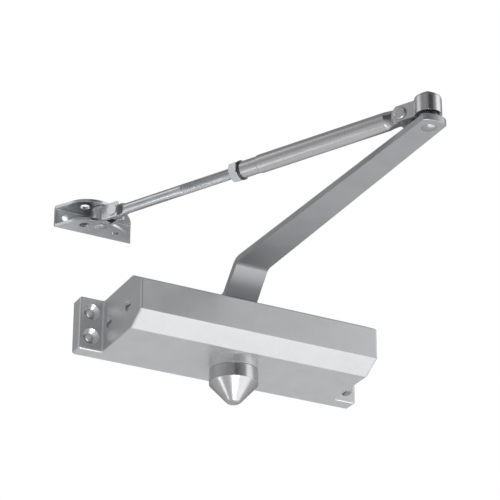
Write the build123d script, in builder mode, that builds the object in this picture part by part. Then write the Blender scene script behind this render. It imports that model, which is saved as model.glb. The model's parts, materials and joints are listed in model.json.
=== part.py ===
from build123d import *

import os
from math import acos, cos, pi, radians, sin, sqrt, tan

# Surface-mounted rack-and-pinion door closer with a folding two-piece arm.
# Millimetres, +Z up along the spindle, +Y into the door, -Y out into the room.
# The origin is the centre of the body's four screw holes on the mounting plane.

# Clearances
running = 0.05              # radial, a shaft in its hole
side_gap = 0.1              # between flat faces that slide on each other
loose_gap = 0.6             # between a turning piece and the casing

# Body casting
body_length = 195.0         # between the end faces
body_height = 42.0
body_depth = 78.0           # mounting plane to front face
level_depth = 61.5          # depth of the level top and bottom faces
front_height = 24.0         # height of the flat front face
long_edge_radius = 0.9
end_edge_radius = 1.4
lug_width = 19.0
lug_thickness = 12.0
lug_corner_radius = 2.0
lug_root_radius = 1.8
lug_hole_inset = 9.5        # outer edge of a lug to its column of holes
lug_hole_spacing = 19.5
lug_hole_radius = 3.25
lug_sink_radius = 6.3

# Spindle, its bosses and its bearings
spindle_x = -4.6
spindle_y = -41.3
boss_radius = 18.2          # lower boss, which the cap continues
boss_height = 7.4
upper_boss_radius = 15.0
upper_boss_height = 2.4
journal_radius = 8.0
square_size = 12.0
square_length = 8.0         # lower square, inside the cap
square_short = 0.3          # upper square stops short of the arm's top face
bearing_radius = 13.0
bearing_seat = 16.2         # height of the bearing's inner face
bearing_height = 6.0        # lower bearing and lower seal
seal_height = 3.0
upper_bearing_height = 3.8
upper_seal_height = 1.8
bearing_chamfer = 0.3
seal_outer_wall = 1.4
seal_lip_wall = 1.2
gland_neck = 4.2            # how far the lower gland reaches into the cap
gland_slack = 0.3           # around the spindle, in each gland
spanner_hole_radius = 1.2
spanner_hole_depth = 1.0

# Rack and pinion
gear_module = 1.5
gear_teeth = 10
pressure_angle = 30.0
gear_addendum = 1.2
gear_dedendum = 1.7
gear_half_width = 11.5
backlash = 0.25
rack_addendum = 1.4
rack_dedendum = 1.9
rack_teeth_before = 7       # teeth on the side the pinion travels towards
rack_teeth_after = 2
opening_angle = 175.0       # full turn of the spindle

# Cylinder, piston and springs
bore_radius = 16.0
bore_blind_x = -76.0
piston_start_gap = 1.0      # piston to the blind end at rest
piston_length = 93.4
window_clearance = 0.9      # around the pinion's tips
window_travel_margin = 2.1
seal_groove_offset = 5.0
seal_groove_width = 3.0
seal_groove_depth = 2.2
check_radius = 5.0
check_length = 12.0
check_ball_radius = 3.0
check_port_radius = 2.0
check_ball_end_gap = 0.5    # ball to the open end of its pocket
plug_radius = 17.5
plug_length = 15.0
plug_groove_offset = 3.5
plug_groove_width = 3.0
plug_groove_depth = 2.0
plug_pin_radius = 2.2
plug_pin_spacing = 22.0
plug_pin_depth = 6.0
ring_round = 0.6            # rounded edges of the plug's and the piston's rings
adjuster_radius = 5.0
adjuster_recess = 2.0
adjuster_reach = 2.5        # how far it stands in from the plug at rest
adjuster_socket = 5.0       # across the flats
adjuster_socket_depth = 6.0
seat_radius = 15.4
seat_thickness = 4.0
seat_hub_radius = 4.0
seat_hub_height = 3.0
outer_spring_radius = 12.6
outer_spring_wire = 1.9
outer_spring_turns = 7
inner_spring_radius = 6.8
inner_spring_wire = 1.2
inner_spring_turns = 10

# Speed valves in the left end face
closing_valve_y = -55.4
latching_valve_y = -22.0
valve_radius = 4.95
valve_bore_depth = 16.0
valve_recess = 1.2
valve_stem_length = 10.5
needle_radius = 1.3
needle_length = 4.0
valve_slot_width = 1.5
valve_slot_depth = 1.6
valve_ring_width = 1.8
valve_ring_depth = 1.3
valve_ring_round = 0.4
channel_radius = 1.5
channel_end_x = -20.0
channel_plug_radius = 2.5
channel_plug_length = 6.0
channel_plug_inset = 0.3    # below the mounting plane

# Conical cap under the body
cap_band_height = 10.7
cap_cone_height = 14.1
cap_tip_radius = 5.4
cap_tip_depth = 0.7
cap_tip_rim = 1.2           # the recess in the tip stops short of its edge
cap_wall = 3.0
cap_thread_wall = 0.5       # the cap's inside is narrower than its thread by this
cap_groove = 0.35
cap_edge = 0.5

# Main arm
elbow_x = 2.2
elbow_y = -306.3
arm_thickness = 5.3
arm_hub_half = 13.8         # half width at the spindle
arm_tip_half = 9.25         # half width at the elbow
arm_rise = 21.6
arm_bend_start = 9.0        # spindle axis to the lower bend
arm_bend_run = 18.6
arm_lower_bend = 4.0        # radii on the bar's middle line
arm_upper_bend = 10.0
arm_tip_overhang = 10.0     # beyond the elbow pin
arm_tip_bulge = 1.2
arm_tip_corner = 3.0
arm_edge = 0.4              # chamfer along the rims

# Arm screw
screw_radius = 4.0
screw_depth = 12.0
screw_head_flats = 13.0
screw_head_height = 5.3
screw_washer_radius = 7.2
washer_thickness = 1.6
washer_chamfer = 0.3        # on the screw's washer and on the elbow's rings
screw_crown_height = 0.4

# Elbow
elbow_pin_radius = 4.0
elbow_peen_radius = 5.0
elbow_peen_height = 1.3
elbow_spacer_radius = 7.6
elbow_spacer_height = 3.6
elbow_washer_radius = 8.8
elbow_washer_height = 1.3
elbow_head_radius = 6.7
elbow_head_height = 3.3
elbow_head_rim = 0.8        # straight side under the dome
elbow_nub_radius = 3.0
elbow_nub_height = 1.8
strap_outer_radius = 9.2
strap_height = 11.8
strap_leaf = 2.5
strap_reach = 25.0          # elbow axis to the leaf ends
strap_rivet_at = 18.4
strap_rivet_radius = 3.0
strap_rivet_rim = 4.6
strap_rivet_height = 1.6    # domed head
strap_rivet_round = 1.2
rivet_rim_height = 0.8
rivet_rim_round = 0.35

# Forearm
forearm_end_x = -124.6      # shoe pin
forearm_end_y = -63.0
tube_radius = 6.6
tube_tang_half = 2.5
tube_tang_end = 12.5        # elbow axis to the tang's rounded end
tube_tang_height = 11.0
tube_neck_start = 25.6
tube_neck_end = 31.0
tube_step = 134.0
tube_step_chamfer = 0.4
collar_radius = 6.0
tube_end = 148.5
tube_bore_start = 60.0
rod_radius = 4.0
shank_radius = 3.95
thread_end = 202.0
rod_start = 105.0
lock_washer_radius = 7.0
lock_washer_height = 1.4
nut_flats = 13.0
nut_height = 6.6
nut_chamfer = 0.7

# Shoe link
link_outer_radius = 6.5
link_height = 12.0
link_leaf = 2.2
link_reach = 18.6
link_rivet_at = 14.2
link_rivet_radius = 2.5
link_rivet_rim = 4.2
rod_tang_half = 2.25
rod_tang_height = 9.6
rod_tang_end = 5.4          # link rivet to the tang's rounded end
rod_neck_length = 5.5
rod_neck_setback = 2.0      # the round shank ends this much further back

# Shoe bracket
shoe_length = 59.8
shoe_height = 17.0
shoe_sheet = 2.2
shoe_depth = 24.6
shoe_pin_from_end = 29.7
shoe_pin_from_back = 15.6
shoe_pin_radius = 4.0
shoe_pin_head_radius = 6.2
shoe_pin_head_height = 3.0
shoe_pin_head_rim = 0.6     # straight side under the dome
shoe_pin_peen_radius = 5.0
shoe_pin_peen_height = 1.0
shoe_screw_inset = 8.0
shoe_screw_radius = 2.75
shoe_access_radius = 3.7
shoe_access_from_end = 18.1
shoe_access_from_back = 14.0
shoe_small_radius = 2.6
shoe_small_from_end = 43.0
shoe_small_from_back = 12.0
shoe_bend_radius = 2.6      # outside of the two bends
shoe_inner_bend = 0.9

# Derived places
body_left = -body_length / 2
body_right = body_length / 2
body_top = body_height / 2
boss_face = body_top + boss_height
upper_face = body_top + upper_boss_height
valve_bore_radius = valve_radius + running
piston_radius = bore_radius - running
piston_left = bore_blind_x + piston_start_gap
piston_right = piston_left + piston_length
plug_inner = body_right - plug_length
pitch_radius = gear_module * gear_teeth / 2
root_radius = pitch_radius - gear_dedendum
tip_radius = pitch_radius + gear_addendum
piston_travel = pitch_radius * radians(opening_angle)
spindle_axis = Vector(spindle_x, spindle_y, 0)
hub_under = upper_face + loose_gap
square_top = -boss_face - loose_gap
hub_top = hub_under + arm_thickness
arm_under = hub_under + arm_rise
arm_top = arm_under + arm_thickness
elbow_axis = Vector(elbow_x, elbow_y, 0)
arm_direction = (elbow_axis - spindle_axis).normalized()
arm_length = (elbow_axis - spindle_axis).length
spacer_top = arm_top + elbow_spacer_height
strap_under = spacer_top + side_gap
strap_top = strap_under + strap_height
washer_under = strap_top + side_gap
forearm_z = strap_under + strap_height / 2
shoe_axis = Vector(forearm_end_x, forearm_end_y, 0)
forearm_direction = (shoe_axis - elbow_axis).normalized()
forearm_length = (shoe_axis - elbow_axis).length
forearm_side = Vector(-forearm_direction.Y, forearm_direction.X, 0)
link_rivet_s = forearm_length - link_rivet_at


def across_forearm(s):
    """Plane square to the forearm, s from the elbow axis, its x axis level."""
    origin = elbow_axis + forearm_direction * s + Vector(0, 0, forearm_z)
    return Plane(origin=origin, x_dir=forearm_side, z_dir=forearm_direction)


def beside_forearm(s):
    """Upright plane along the forearm: x runs to the shoe and y runs up."""
    origin = elbow_axis + forearm_direction * s + Vector(0, 0, forearm_z)
    return Plane(origin=origin, x_dir=forearm_direction, z_dir=-forearm_side)


def over_forearm(s, height):
    """Level plane whose x axis runs along the forearm to the shoe."""
    origin = elbow_axis + forearm_direction * s + Vector(0, 0, height)
    return Plane(origin=origin, x_dir=forearm_direction, z_dir=(0, 0, 1))


def at_spindle(height):
    """Level plane centred on the spindle."""
    return Plane(origin=(spindle_x, spindle_y, height), z_dir=(0, 0, 1))


def at_elbow(height):
    """Level plane centred on the elbow pin."""
    return Plane(origin=(elbow_x, elbow_y, height), z_dir=(0, 0, 1))


def dome_arc(radius, base, height):
    """Half section of a spherical cap from its rim to the axis; height may be negative."""
    sphere = (radius**2 + height**2) / (2 * abs(height))
    middle = sqrt(sphere**2 - (0.55 * radius) ** 2) - (sphere - abs(height))
    direction = 1 if height > 0 else -1
    return (
        (radius, base),
        (0.55 * radius, base + direction * middle),
        (0, base + height),
    )


def along_bore(x, y=spindle_y):
    """Plane square to the cylinder at x, facing +X, centred on its axis."""
    return Plane(origin=(x, y, 0), x_dir=(0, 1, 0), z_dir=(1, 0, 0))


# ---------------------------------------------------------------- casing
with BuildPart() as body_casing:
    with BuildSketch(Plane.YZ):
        with BuildLine():
            Polyline(
                (0, -body_top),
                (0, body_top),
                (-level_depth, body_top),
                (-body_depth, front_height / 2),
                (-body_depth, -front_height / 2),
                (-level_depth, -body_top),
                close=True,
            )
        make_face()
    extrude(amount=body_length / 2, both=True)
    front_edges = body_casing.edges().filter_by(Axis.X).sort_by(Axis.Y)[:4]
    fillet(front_edges, radius=long_edge_radius)
    # Screw lugs, one plate flush with the mounting plane
    with BuildSketch(Plane.XZ):
        RectangleRounded(body_length + 2 * lug_width, body_height, lug_corner_radius)
    extrude(amount=lug_thickness)
    lug_roots = (
        body_casing.edges()
        .filter_by(Axis.Z)
        .filter_by_position(Axis.Y, -lug_thickness - 0.1, -lug_thickness + 0.1)
        .filter_by_position(Axis.X, body_left - 0.1, body_right + 0.1)
    )
    fillet(lug_roots, radius=lug_root_radius)
    end_edges = (
        body_casing.edges()
        .filter_by_position(Axis.Y, -body_depth - 0.1, -lug_thickness - lug_root_radius - 1)
        .filter_by(lambda edge: abs(abs(edge.center().X) - body_length / 2) < 0.01)
    )
    fillet(end_edges, radius=end_edge_radius)
    # Spindle bosses below and above
    with BuildSketch(at_spindle(0)):
        Circle(boss_radius)
    extrude(amount=-boss_face)
    with BuildSketch(at_spindle(0)):
        Circle(upper_boss_radius)
    extrude(amount=upper_face)
    # Cylinder, open at the right end for the plug
    with BuildSketch(along_bore(bore_blind_x)):
        Circle(bore_radius)
    extrude(amount=body_right - bore_blind_x, mode=Mode.SUBTRACT)
    with BuildSketch(along_bore(plug_inner)):
        Circle(plug_radius)
    extrude(amount=plug_length, mode=Mode.SUBTRACT)
    # Spindle hole and the two bearing pockets
    with BuildSketch(at_spindle(-bearing_seat)):
        Circle(tip_radius + window_clearance)
    extrude(amount=2 * bearing_seat, mode=Mode.SUBTRACT)
    for floor, reach in ((bearing_seat, upper_face), (-boss_face, -bearing_seat)):
        with BuildSketch(at_spindle(floor)):
            Circle(bearing_radius)
        extrude(amount=reach - floor, mode=Mode.SUBTRACT)
    # Valve bores and the oil channels behind them
    for valve_y, channel_reach in (
        (closing_valve_y, bore_blind_x),
        (latching_valve_y, channel_end_x),
    ):
        with BuildSketch(along_bore(body_left, valve_y)):
            Circle(valve_bore_radius)
        extrude(amount=valve_bore_depth, mode=Mode.SUBTRACT)
        with BuildSketch(along_bore(body_left, valve_y)):
            Circle(channel_radius)
        extrude(amount=channel_reach - body_left, mode=Mode.SUBTRACT)
    with BuildSketch(Plane.XZ):
        with Locations((channel_end_x, 0)):
            Circle(channel_radius)
    extrude(amount=-(spindle_y + bore_radius - 2 * channel_radius), mode=Mode.SUBTRACT)
    with BuildSketch(Plane.XZ):
        with Locations((channel_end_x, 0)):
            Circle(channel_plug_radius)
    extrude(amount=channel_plug_length, mode=Mode.SUBTRACT)
    # Countersunk screw holes
    with Locations(Plane(origin=(0, -lug_thickness, 0), x_dir=(1, 0, 0), z_dir=(0, -1, 0))):
        with GridLocations(
            body_length + 2 * (lug_width - lug_hole_inset), lug_hole_spacing, 2, 2
        ):
            CounterSinkHole(lug_hole_radius, lug_sink_radius, counter_sink_angle=90)

# ------------------------------------------------- pieces set in the casing
with BuildPart() as channel_plug:
    with BuildSketch(Plane.XZ.offset(channel_plug_inset)):
        with Locations((channel_end_x, 0)):
            Circle(channel_plug_radius)
    extrude(amount=channel_plug_length - channel_plug_inset)


def make_bearing(sign, height):
    """Plain bearing ring with its edges broken."""
    with BuildPart() as bearing:
        with BuildSketch(at_spindle(sign * bearing_seat)):
            Circle(bearing_radius)
            Circle(journal_radius + running, mode=Mode.SUBTRACT)
        extrude(amount=sign * height)
        chamfer(bearing.edges().filter_by(GeomType.CIRCLE), length=bearing_chamfer)
    return bearing


def make_seal(sign, start, height):
    """Lip seal: a ring hollowed from the oil side."""
    with BuildPart() as seal:
        with BuildSketch(at_spindle(sign * start)):
            Circle(bearing_radius)
            Circle(journal_radius + running, mode=Mode.SUBTRACT)
        extrude(amount=sign * height)
        with BuildSketch(at_spindle(sign * start)):
            Circle(bearing_radius - seal_outer_wall)
            Circle(journal_radius + seal_lip_wall, mode=Mode.SUBTRACT)
        extrude(amount=sign * height / 2, mode=Mode.SUBTRACT)
    return seal


def make_gland(sign, start, reach):
    """Threaded ring that holds a bearing and seal in, with spanner holes."""
    with BuildPart() as gland:
        with BuildSketch(at_spindle(sign * start)):
            Circle(bearing_radius)
            Circle(journal_radius + gland_slack, mode=Mode.SUBTRACT)
        extrude(amount=sign * (reach - start))
        with BuildSketch(at_spindle(sign * reach)):
            with GridLocations(bearing_radius + journal_radius, 1, 2, 1):
                Circle(spanner_hole_radius)
        extrude(amount=-sign * spanner_hole_depth, mode=Mode.SUBTRACT)
    return gland


upper_seal_start = bearing_seat + upper_bearing_height
lower_seal_start = bearing_seat + bearing_height
upper_bearing = make_bearing(1, upper_bearing_height)
lower_bearing = make_bearing(-1, bearing_height)
upper_seal = make_seal(1, upper_seal_start, upper_seal_height)
lower_seal = make_seal(-1, lower_seal_start, seal_height)
upper_gland = make_gland(1, upper_seal_start + upper_seal_height, upper_face)
lower_gland = make_gland(-1, lower_seal_start + seal_height, boss_face + gland_neck)

with BuildPart() as spindle_cap:
    band_end = -boss_face - cap_band_height
    cone_end = band_end - cap_cone_height
    cap_slope = (boss_radius - cap_tip_radius) / cap_cone_height
    inner_end = cone_end + cap_wall * 1.6
    inner_tip = cap_tip_radius + cap_slope * (inner_end - cone_end) - cap_wall * 1.3
    inner_band = inner_end + (bearing_radius - cap_thread_wall - inner_tip) / cap_slope
    # Half section, r across and z up
    with BuildSketch(Plane(origin=spindle_axis, x_dir=(1, 0, 0), z_dir=(0, -1, 0))):
        with BuildLine():
            Polyline(
                (bearing_radius, -boss_face),
                (boss_radius - cap_groove, -boss_face),
                (boss_radius - cap_groove, -boss_face - cap_groove),
                (boss_radius, -boss_face - 2 * cap_groove),
                (boss_radius, band_end),
                (cap_tip_radius, cone_end),
                (cap_tip_radius - cap_tip_rim, cone_end - cap_tip_depth),
                (0, cone_end - cap_tip_depth),
                (0, inner_end),
                (inner_tip, inner_end),
                (bearing_radius - cap_thread_wall, inner_band),
                (bearing_radius - cap_thread_wall, -boss_face - gland_neck),
                (bearing_radius, -boss_face - gland_neck),
                close=True,
            )
        make_face()
    revolve(axis=Axis((spindle_x, spindle_y, 0), (0, 0, 1)))
    fillet(
        spindle_cap.edges().filter_by(GeomType.CIRCLE).sort_by(Axis.Z)[:2], radius=cap_edge
    )

with BuildPart() as end_plug:
    with BuildSketch(along_bore(plug_inner)):
        Circle(plug_radius)
        Circle(adjuster_radius + running, mode=Mode.SUBTRACT)
    extrude(amount=plug_length)
    with BuildSketch(along_bore(plug_inner + plug_groove_offset)):
        Circle(plug_radius)
        Circle(plug_radius - plug_groove_depth, mode=Mode.SUBTRACT)
    extrude(amount=plug_groove_width, mode=Mode.SUBTRACT)
    with BuildSketch(along_bore(body_right)):
        with GridLocations(plug_pin_spacing, 1, 2, 1):
            Circle(plug_pin_radius)
    extrude(amount=-plug_pin_depth, mode=Mode.SUBTRACT)

with BuildPart() as plug_seal:
    with BuildSketch(along_bore(plug_inner + plug_groove_offset)):
        Circle(plug_radius)
        Circle(plug_radius - plug_groove_depth, mode=Mode.SUBTRACT)
    extrude(amount=plug_groove_width)
    fillet(plug_seal.edges().filter_by(GeomType.CIRCLE), radius=ring_round)

# ---------------------------------------------------------------- valves


def make_valve(valve_y):
    """Slotted adjusting screw with a seal groove and a needle tip."""
    head_x = body_left + valve_recess
    stem_x = head_x + valve_stem_length
    ring_x = head_x + valve_stem_length - 2 * valve_ring_width
    with BuildPart() as valve:
        with BuildSketch(along_bore(head_x, valve_y)):
            Circle(valve_radius)
        extrude(amount=valve_stem_length)
        with BuildSketch(along_bore(ring_x, valve_y)):
            Circle(valve_radius)
            Circle(valve_radius - valve_ring_depth, mode=Mode.SUBTRACT)
        extrude(amount=valve_ring_width, mode=Mode.SUBTRACT)
        with BuildSketch(along_bore(stem_x, valve_y)):
            Circle(valve_radius - valve_ring_depth)
        with BuildSketch(along_bore(stem_x + needle_length, valve_y)):
            Circle(needle_radius)
        loft()
        with BuildSketch(along_bore(head_x, valve_y)):
            Rectangle(2 * valve_radius, valve_slot_width)
        extrude(amount=valve_slot_depth, mode=Mode.SUBTRACT)
    return valve


def make_valve_seal(valve_y):
    """O-ring in a valve's groove."""
    ring_x = body_left + valve_recess + valve_stem_length - 2 * valve_ring_width
    with BuildPart() as seal:
        with BuildSketch(along_bore(ring_x, valve_y)):
            Circle(valve_radius)
            Circle(valve_radius - valve_ring_depth, mode=Mode.SUBTRACT)
        extrude(amount=valve_ring_width)
        fillet(seal.edges().filter_by(GeomType.CIRCLE), radius=valve_ring_round)
    return seal


closing_valve = make_valve(closing_valve_y)
latching_valve = make_valve(latching_valve_y)
closing_valve_seal = make_valve_seal(closing_valve_y)
latching_valve_seal = make_valve_seal(latching_valve_y)

# ------------------------------------------------------ spindle and piston
base_radius = pitch_radius * cos(radians(pressure_angle))


def involute(angle):
    """Involute function of an angle in radians."""
    return tan(angle) - angle


def tooth_half_angle(radius):
    """Half the angle that a pinion tooth spans at a radius."""
    at_pitch = pi / (2 * gear_teeth) - backlash / (2 * pitch_radius)
    pressure = acos(min(1.0, base_radius / radius))
    return at_pitch + involute(radians(pressure_angle)) - involute(pressure)


def flank_point(radius, side):
    """Point on a tooth flank; the tooth points along +X."""
    half = tooth_half_angle(max(radius, base_radius))
    return (radius * cos(half), side * radius * sin(half))


with BuildPart() as pinion_tooth:
    flank_radii = [base_radius + (tip_radius - base_radius) * i / 3 for i in range(4)]
    with BuildSketch():
        with BuildLine():
            Spline(*[flank_point(radius, 1) for radius in flank_radii])
            Line(flank_point(tip_radius, 1), flank_point(tip_radius, -1))
            Spline(*[flank_point(radius, -1) for radius in reversed(flank_radii)])
            Polyline(
                flank_point(base_radius, -1),
                flank_point(root_radius - 1, -1),
                flank_point(root_radius - 1, 1),
                flank_point(base_radius, 1),
            )
        make_face()
    extrude(amount=gear_half_width, both=True)

with BuildPart() as pinion_spindle:
    with BuildSketch(at_spindle(-bearing_seat)):
        Circle(root_radius)
    extrude(amount=2 * bearing_seat)
    with Locations((spindle_x, spindle_y, 0)):
        with PolarLocations(0, gear_teeth, start_angle=90):
            add(pinion_tooth.part)
    for start, end in ((bearing_seat, hub_under), (-bearing_seat, square_top)):
        with BuildSketch(at_spindle(start)):
            Circle(journal_radius)
        extrude(amount=end - start)
    # Squares: the upper one drives the arm, the lower one is the spare
    for start, length in (
        (hub_under, arm_thickness - square_short),
        (square_top, -square_length),
    ):
        with BuildSketch(at_spindle(start)):
            Rectangle(square_size, square_size)
            Circle(journal_radius, mode=Mode.INTERSECT)
        extrude(amount=length)
    with BuildSketch(at_spindle(hub_top - square_short)):
        Circle(screw_radius)
    extrude(amount=-screw_depth, mode=Mode.SUBTRACT)

with BuildPart() as piston:
    with BuildSketch(along_bore(piston_left)):
        Circle(piston_radius)
    extrude(amount=piston_length)
    # Window for the pinion, its far wall carrying the rack
    window_left = spindle_x - piston_travel - tip_radius - window_travel_margin
    window_right = spindle_x + tip_radius + window_travel_margin
    with BuildSketch(Plane.XY):
        with BuildLine():
            Polyline(
                (window_left, spindle_y - tip_radius - window_clearance),
                (window_right, spindle_y - tip_radius - window_clearance),
                (window_right, spindle_y + pitch_radius + rack_dedendum),
                (window_left, spindle_y + pitch_radius + rack_dedendum),
                close=True,
            )
        make_face()
    extrude(amount=piston_radius, both=True, mode=Mode.SUBTRACT)
    tooth_pitch = pi * gear_module
    half_at_pitch = (tooth_pitch / 2 - backlash) / 2
    slope = tan(radians(pressure_angle))
    with BuildSketch(Plane.XY):
        for index in range(-rack_teeth_before, rack_teeth_after):
            tooth_x = spindle_x + tooth_pitch * (index + 0.5)
            half_tip = half_at_pitch - rack_addendum * slope
            half_root = half_at_pitch + rack_dedendum * slope
            with BuildLine():
                Polyline(
                    (tooth_x - half_tip, spindle_y + pitch_radius - rack_addendum),
                    (tooth_x + half_tip, spindle_y + pitch_radius - rack_addendum),
                    (tooth_x + half_root, spindle_y + pitch_radius + rack_dedendum),
                    (tooth_x + half_root, spindle_y + pitch_radius + rack_dedendum + 1),
                    (tooth_x - half_root, spindle_y + pitch_radius + rack_dedendum + 1),
                    (tooth_x - half_root, spindle_y + pitch_radius + rack_dedendum),
                    close=True,
                )
            make_face()
    extrude(amount=gear_half_width, both=True)
    # Seal groove and check valve in the head
    with BuildSketch(along_bore(piston_left + seal_groove_offset)):
        Circle(piston_radius)
        Circle(piston_radius - seal_groove_depth, mode=Mode.SUBTRACT)
    extrude(amount=seal_groove_width, mode=Mode.SUBTRACT)
    with BuildSketch(along_bore(piston_left)):
        Circle(check_radius)
    extrude(amount=check_length, mode=Mode.SUBTRACT)
    with BuildSketch(along_bore(piston_left)):
        Circle(check_port_radius)
    extrude(amount=window_left - piston_left + 1, mode=Mode.SUBTRACT)

with BuildPart() as piston_seal:
    with BuildSketch(along_bore(piston_left + seal_groove_offset)):
        Circle(piston_radius)
        Circle(piston_radius - seal_groove_depth, mode=Mode.SUBTRACT)
    extrude(amount=seal_groove_width)
    fillet(piston_seal.edges().filter_by(GeomType.CIRCLE), radius=ring_round)

with BuildPart() as check_valve_seat:
    with BuildSketch(along_bore(piston_left)):
        Circle(check_radius)
        Circle(check_port_radius, mode=Mode.SUBTRACT)
    extrude(amount=check_length)
    pocket_start = piston_left + check_length - 2 * (check_ball_radius + check_ball_end_gap)
    with BuildSketch(along_bore(pocket_start)):
        Circle(check_ball_radius + 4 * running)
    extrude(amount=2 * (check_ball_radius + check_ball_end_gap), mode=Mode.SUBTRACT)

with BuildPart() as check_ball:
    ball_x = piston_left + check_length - check_ball_radius - check_ball_end_gap
    with Locations((ball_x, spindle_y, 0)):
        Sphere(check_ball_radius)

# ------------------------------------------------------ springs and adjuster
adjuster_end = plug_inner - adjuster_reach


def make_spring(mean_radius, wire_radius, turns):
    """Compression spring between the piston and its adjustable seat."""
    first = piston_right + wire_radius + side_gap
    last = adjuster_end - seat_thickness - wire_radius - side_gap
    with BuildPart() as spring:
        with BuildLine() as coil:
            Helix(
                pitch=(last - first) / turns,
                height=last - first,
                radius=mean_radius,
                center=(first, spindle_y, 0),
                direction=(1, 0, 0),
            )
        wire_plane = Plane(origin=coil.line @ 0, z_dir=coil.line % 0)
        with BuildSketch(wire_plane):
            Circle(wire_radius)
        sweep(path=coil.line, is_frenet=True)
    return spring


outer_spring = make_spring(outer_spring_radius, outer_spring_wire, outer_spring_turns)
inner_spring = make_spring(inner_spring_radius, inner_spring_wire, inner_spring_turns)

with BuildPart() as spring_seat:
    with BuildSketch(along_bore(adjuster_end - seat_thickness)):
        Circle(seat_radius)
    extrude(amount=seat_thickness)
    with BuildSketch(along_bore(adjuster_end - seat_thickness)):
        Circle(seat_hub_radius)
    extrude(amount=-seat_hub_height)

with BuildPart() as spring_adjuster:
    with BuildSketch(along_bore(adjuster_end)):
        Circle(adjuster_radius)
    extrude(amount=body_right - adjuster_recess - adjuster_end)
    with BuildSketch(along_bore(body_right - adjuster_recess)):
        RegularPolygon(adjuster_socket / 2, 6, major_radius=False)
    extrude(amount=-adjuster_socket_depth, mode=Mode.SUBTRACT)

# ---------------------------------------------------------------- main arm
bend_mid = hub_under + arm_thickness / 2
arm_upright = Plane(
    origin=spindle_axis, x_dir=arm_direction, z_dir=arm_direction.cross(Vector(0, 0, 1))
)
arm_level = Plane(origin=spindle_axis, x_dir=arm_direction, z_dir=(0, 0, 1))
arm_tip = arm_length + arm_tip_overhang
taper = (arm_hub_half - arm_tip_half) / arm_length
tip_half = arm_tip_half - taper * arm_tip_overhang

with BuildPart() as main_arm:
    with BuildLine(arm_upright) as arm_bend:
        FilletPolyline(
            (-2 * arm_hub_half, bend_mid),
            (arm_bend_start, bend_mid),
            (arm_bend_start + arm_bend_run, bend_mid + arm_rise),
            (arm_tip + arm_hub_half, bend_mid + arm_rise),
            radius=(arm_lower_bend, arm_upper_bend),
        )
    bar_plane = Plane(
        origin=arm_bend.line @ 0, x_dir=arm_upright.z_dir, z_dir=arm_bend.line % 0
    )
    with BuildSketch(bar_plane):
        Rectangle(3 * arm_hub_half, arm_thickness)
    sweep(path=arm_bend.line)
    with BuildSketch(arm_level):
        with BuildLine():
            hub_sine = taper
            hub_cosine = sqrt(1 - taper**2)
            hub_x = arm_hub_half * hub_sine
            hub_y = arm_hub_half * hub_cosine
            ThreePointArc((hub_x, hub_y), (-arm_hub_half, 0), (hub_x, -hub_y))
            Line((hub_x, -hub_y), (arm_tip - arm_tip_corner, -tip_half))
            ThreePointArc(
                (arm_tip - arm_tip_corner, -tip_half),
                (arm_tip - arm_tip_bulge, -tip_half + 0.8 * arm_tip_corner),
                (arm_tip - arm_tip_bulge * 0.7, -tip_half + arm_tip_corner),
            )
            ThreePointArc(
                (arm_tip - arm_tip_bulge * 0.7, -tip_half + arm_tip_corner),
                (arm_tip, 0),
                (arm_tip - arm_tip_bulge * 0.7, tip_half - arm_tip_corner),
            )
            ThreePointArc(
                (arm_tip - arm_tip_bulge * 0.7, tip_half - arm_tip_corner),
                (arm_tip - arm_tip_bulge, tip_half - 0.8 * arm_tip_corner),
                (arm_tip - arm_tip_corner, tip_half),
            )
            Line((arm_tip - arm_tip_corner, tip_half), (hub_x, hub_y))
        make_face()
    extrude(amount=arm_top + 10, mode=Mode.INTERSECT)
    # Both rims of the bar, but not the lines across its bends
    bar_rims = main_arm.edges().filter_by(
        lambda edge: edge.geom_type != GeomType.LINE or abs((edge % 0.5).dot(arm_direction)) > 0.5
    )
    chamfer(bar_rims, length=arm_edge)
    with BuildSketch(at_spindle(0)):
        Rectangle(square_size, square_size)
        Circle(journal_radius, mode=Mode.INTERSECT)
    extrude(amount=hub_top + 1, mode=Mode.SUBTRACT)
    with BuildSketch(at_elbow(0)):
        Circle(elbow_pin_radius)
    extrude(amount=arm_top + 1, mode=Mode.SUBTRACT)

with BuildPart() as arm_washer:
    with BuildSketch(at_spindle(hub_top)):
        Circle(screw_washer_radius)
        Circle(screw_radius, mode=Mode.SUBTRACT)
    extrude(amount=washer_thickness)
    chamfer(
        arm_washer.faces().sort_by(Axis.Z)[-1].edges().sort_by(SortBy.RADIUS)[-1],
        length=washer_chamfer,
    )

with BuildPart() as arm_screw:
    with BuildSketch(at_spindle(hub_top - square_short - screw_depth + 1)):
        Circle(screw_radius)
    extrude(amount=washer_thickness + square_short + screw_depth - 1)
    with BuildSketch(at_spindle(hub_top + washer_thickness)):
        RegularPolygon(screw_head_flats / 2, 6, major_radius=False)
    extrude(amount=screw_head_height)
    with BuildSketch(at_spindle(hub_top + washer_thickness + screw_head_height)):
        Circle(screw_head_flats / 2 - screw_crown_height)
    extrude(amount=screw_crown_height)

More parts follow.
